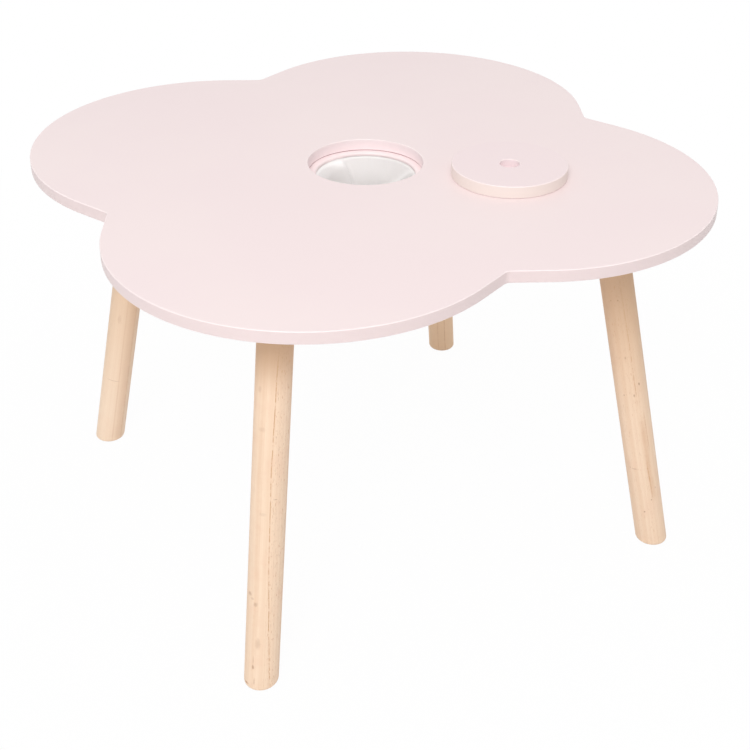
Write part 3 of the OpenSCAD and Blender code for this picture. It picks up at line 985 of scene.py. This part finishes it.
# Side of the pouch at t from 0, the neck, to 1, the middle of the base: with d = sin(90 t) the height is
# -depth d and the radius (neck + swell sin(min(90, swellTurn d))) (1 - d^p)^(1/p), less the press and proud
# at the seam. The hem lies flat above it and bends down into the neck.
def pouchGrid():
    columns, hem, outBy, downBy = (pouch[k] for k in ("columns", "hemHeight", "bendOut", "bendDown"))
    sideT = np.linspace(0, pouch["baseFrom"], pouch["sideSteps"] + 1)
    baseT = np.linspace(pouch["baseFrom"], 1, pouch["baseSteps"] + 1)[1:-1]
    t = np.concatenate([sideT, baseT])[:, None]
    around = np.arange(columns) * 360 / columns
    d = np.sin(np.pi / 2 * t)
    down = pouch["depth"] * d
    swell = np.sin(np.minimum(np.pi / 2, np.radians(pouch["swellTurn"]) * d))
    radius = pouch["neck"] + pouch["swell"] * swell
    radius = radius * (1 - d ** pouch["cornerPower"]) ** (1 / pouch["cornerPower"])
    radius = radius - pouchPress(t, around, d, down)
    radius = radius + pouch["seamProud"] * np.exp(-(((t - pouch["seamAt"]) / pouch["seamWide"]) ** 2))
    hemR = np.linspace(pouch["hemOuter"], pouch["neck"] + outBy, pouch["hemRows"])[:, None]
    bend = np.radians(pouch["bendAngles"])[:, None]
    r = [hemR, pouch["neck"] + outBy * (1 - np.sin(bend)), radius]
    z = [hem + 0 * hemR, hem - downBy * (1 - np.cos(bend)), hem - downBy - down]
    r, z = (np.concatenate([rows + 0 * around for rows in parts]) for parts in (r, z))
    a = np.radians(around)
    grid = np.stack([r * np.cos(a), r * np.sin(a), z], -1)
    pole = np.array([0, 0, hem - downBy - pouch["depth"]])
    baseStarts = len(grid) - len(t) + np.searchsorted(t[:, 0], pouch["seamAt"])
    return grid, pole, pouchMap(grid, baseStarts)


# The cloth's own map in metres: the side is rolled out, u round the belly and v along the cloth, and the
# base is (x, y).
def pouchMap(grid, baseStarts):
    columns = pouch["columns"]
    steps = np.linalg.norm(np.diff(grid, axis=0), axis=2).mean(1)
    along = np.concatenate([[0], np.cumsum(steps)])
    u = np.arange(columns + 1) / columns * 2 * np.pi * (pouch["neck"] + pouch["swell"])
    side = np.stack(np.broadcast_arrays(u[None, :], along[:, None]), -1)
    side = np.concatenate([side, side[-1:]])
    base = np.concatenate([grid, grid[:, :1]], 1)[..., :2]
    base = np.concatenate([base, np.zeros((1,) + base.shape[1:])])
    onBase = (np.arange(len(grid)) >= baseStarts)[:, None, None]
    upper, lower = np.where(onBase, base[:-1], side[:-1]), np.where(onBase, base[1:], side[1:])
    return np.stack([upper, lower], 1) * millimetre


weave = {
    "thread": 0.45,
    "slub": {"repeat": (60.0, 1500.0, 1.0), "detail": 2.0},
    "crossSlub": {"repeat": (1500.0, 60.0, 1.0), "detail": 2.0},
    "slubSpan": (0.35, 0.65),
    "light": (255, 252, 251),
    "shade": (253, 250, 248),
    "between": (244, 240, 237),
    "betweenShare": 0.1,
    "rough": 0.85,
    "sheen": 0.5,
    "bump": (0.5, 0.15),
}


# Plain-woven cotton: over and under of threads 0.45 mm apart along the pouch's own map, with thicker threads
# here and there, and a soft tone that follows them
def cotton(name):
    material, wires = newMaterial(name)
    flat = wires.node("UVMap", {"uv_map": "cloth"})
    parts = wires.node("SeparateXYZ", {}, {"Vector": flat})
    turns = math.pi / (weave["thread"] * millimetre)
    warp, weft = wires.maths("SINE", parts * turns), wires.maths("SINE", parts.at(1) * turns)
    overUnder = warp * weft * 0.5 + 0.5
    slub, crossSlub = (0.5 * wires.noise(flat, **weave[k]) for k in ("slub", "crossSlub"))
    tone = wires.mix((slub + crossSlub).ramp(*weave["slubSpan"]), weave["light"], weave["shade"])
    tone = wires.mix(weave["betweenShare"] * overUnder, tone, weave["between"])
    height = overUnder + slub + crossSlub
    finishSurface(wires, tone, weave["rough"], weave["bump"], height, {"Sheen Weight": weave["sheen"]})
    return material


grid, pole, uv = pouchGrid()
mesh = newMesh("pouchCloth", grid, {-1: pole}, uv=uv)
pouchPiece = addPiece("pouchCloth", mesh, "table", ["storage_pouch"], cotton("pouchCotton"))
wall = pouchPiece.modifiers.new("cloth", "SOLIDIFY")
wall.thickness, wall.offset = pouch["thick"] * millimetre, 0
print("pouch made:", len(pouchPiece.data.polygons), "faces")

studio = {
    "world": 0.585,
    "floorTone": (243, 243, 243),
    "floorRings": (400, 1500, 9000),
    "floorHeight": -0.3,
    "floorColumns": 64,
    "shadow": 0.03,
    "shadowEnds": (0.35, 1.1),
    "lampAim": (0, 0, 0.35),
    "lamps": {  # where each lamp hangs and its size, in metres, and its power
        "keyLamp": ((-1.62, -2.13, 2.55), 1.5, 54),
        "topLamp": ((0.1, -0.1, 2.9), 2.2, 11),
    },
}


# A white card with a faint shadow near the feet, gone over the distances shadowEnds, in metres. It is clear
# from below, so that the table's underside can be looked at.
def addFloor():
    height = studio["floorHeight"]
    section = np.array([[radius, height] for radius in studio["floorRings"]])
    grid = turnedGrid(section, studio["floorColumns"])
    mesh = newMesh("floor", grid, {0: np.array([0, 0, height])})
    floor = bpy.data.objects.new("floor", mesh)
    bpy.context.scene.collection.objects.link(floor)
    material, wires = newMaterial("floorCard")
    far = wires.node("VectorMath", {"operation": "LENGTH"}, {0: wires.objectPlace()}, out="Value")
    whiteness = 1.0 - studio["shadow"] + studio["shadow"] * far.ramp(*studio["shadowEnds"])
    card = wires.node("BsdfDiffuse", {}, {"Color": colour(*studio["floorTone"])})
    white = wires.node("Emission", {}, {"Color": (1, 1, 1, 1), "Strength": 1.0})
    lit = wires.node("MixShader", {}, {0: wires.seenDirectly() * whiteness, 1: card, 2: white})
    below = wires.node("NewGeometry", out="Backfacing")
    surface = wires.node("MixShader", {}, {0: below, 1: lit, 2: wires.node("BsdfTransparent")})
    wires.node("OutputMaterial", {}, {"Surface": surface})
    mesh.materials.append(material)


def addLamp(name, place, size, power):
    lamp = bpy.data.lights.new(name, "AREA")
    lamp.shape, lamp.size, lamp.energy = "DISK", size, power
    holder = bpy.data.objects.new(name, lamp)
    holder.location = place
    holder.rotation_euler = (Vector(studio["lampAim"]) - Vector(place)).to_track_quat("-Z", "Y").to_euler()
    bpy.context.scene.collection.objects.link(holder)


def addWorld():
    world = bpy.data.worlds.new("studio")
    world.use_nodes = True
    world.node_tree.nodes.clear()
    wires = Wire(world.node_tree)
    light = wires.node("Background", {}, {"Color": (1, 1, 1, 1), "Strength": studio["world"]})
    white = wires.node("Background", {}, {"Color": (1, 1, 1, 1), "Strength": 1.0})
    both = wires.node("MixShader", {}, {0: wires.seenDirectly(), 1: light, 2: white})
    wires.node("OutputWorld", {}, {"Surface": both})
    bpy.context.scene.world = world


addFloor()
for name, (place, size, power) in studio["lamps"].items():
    addLamp(name, place, size, power)
addWorld()
bpy.context.scene.view_settings.view_transform = "Standard"
print("floor, lamps and world set")
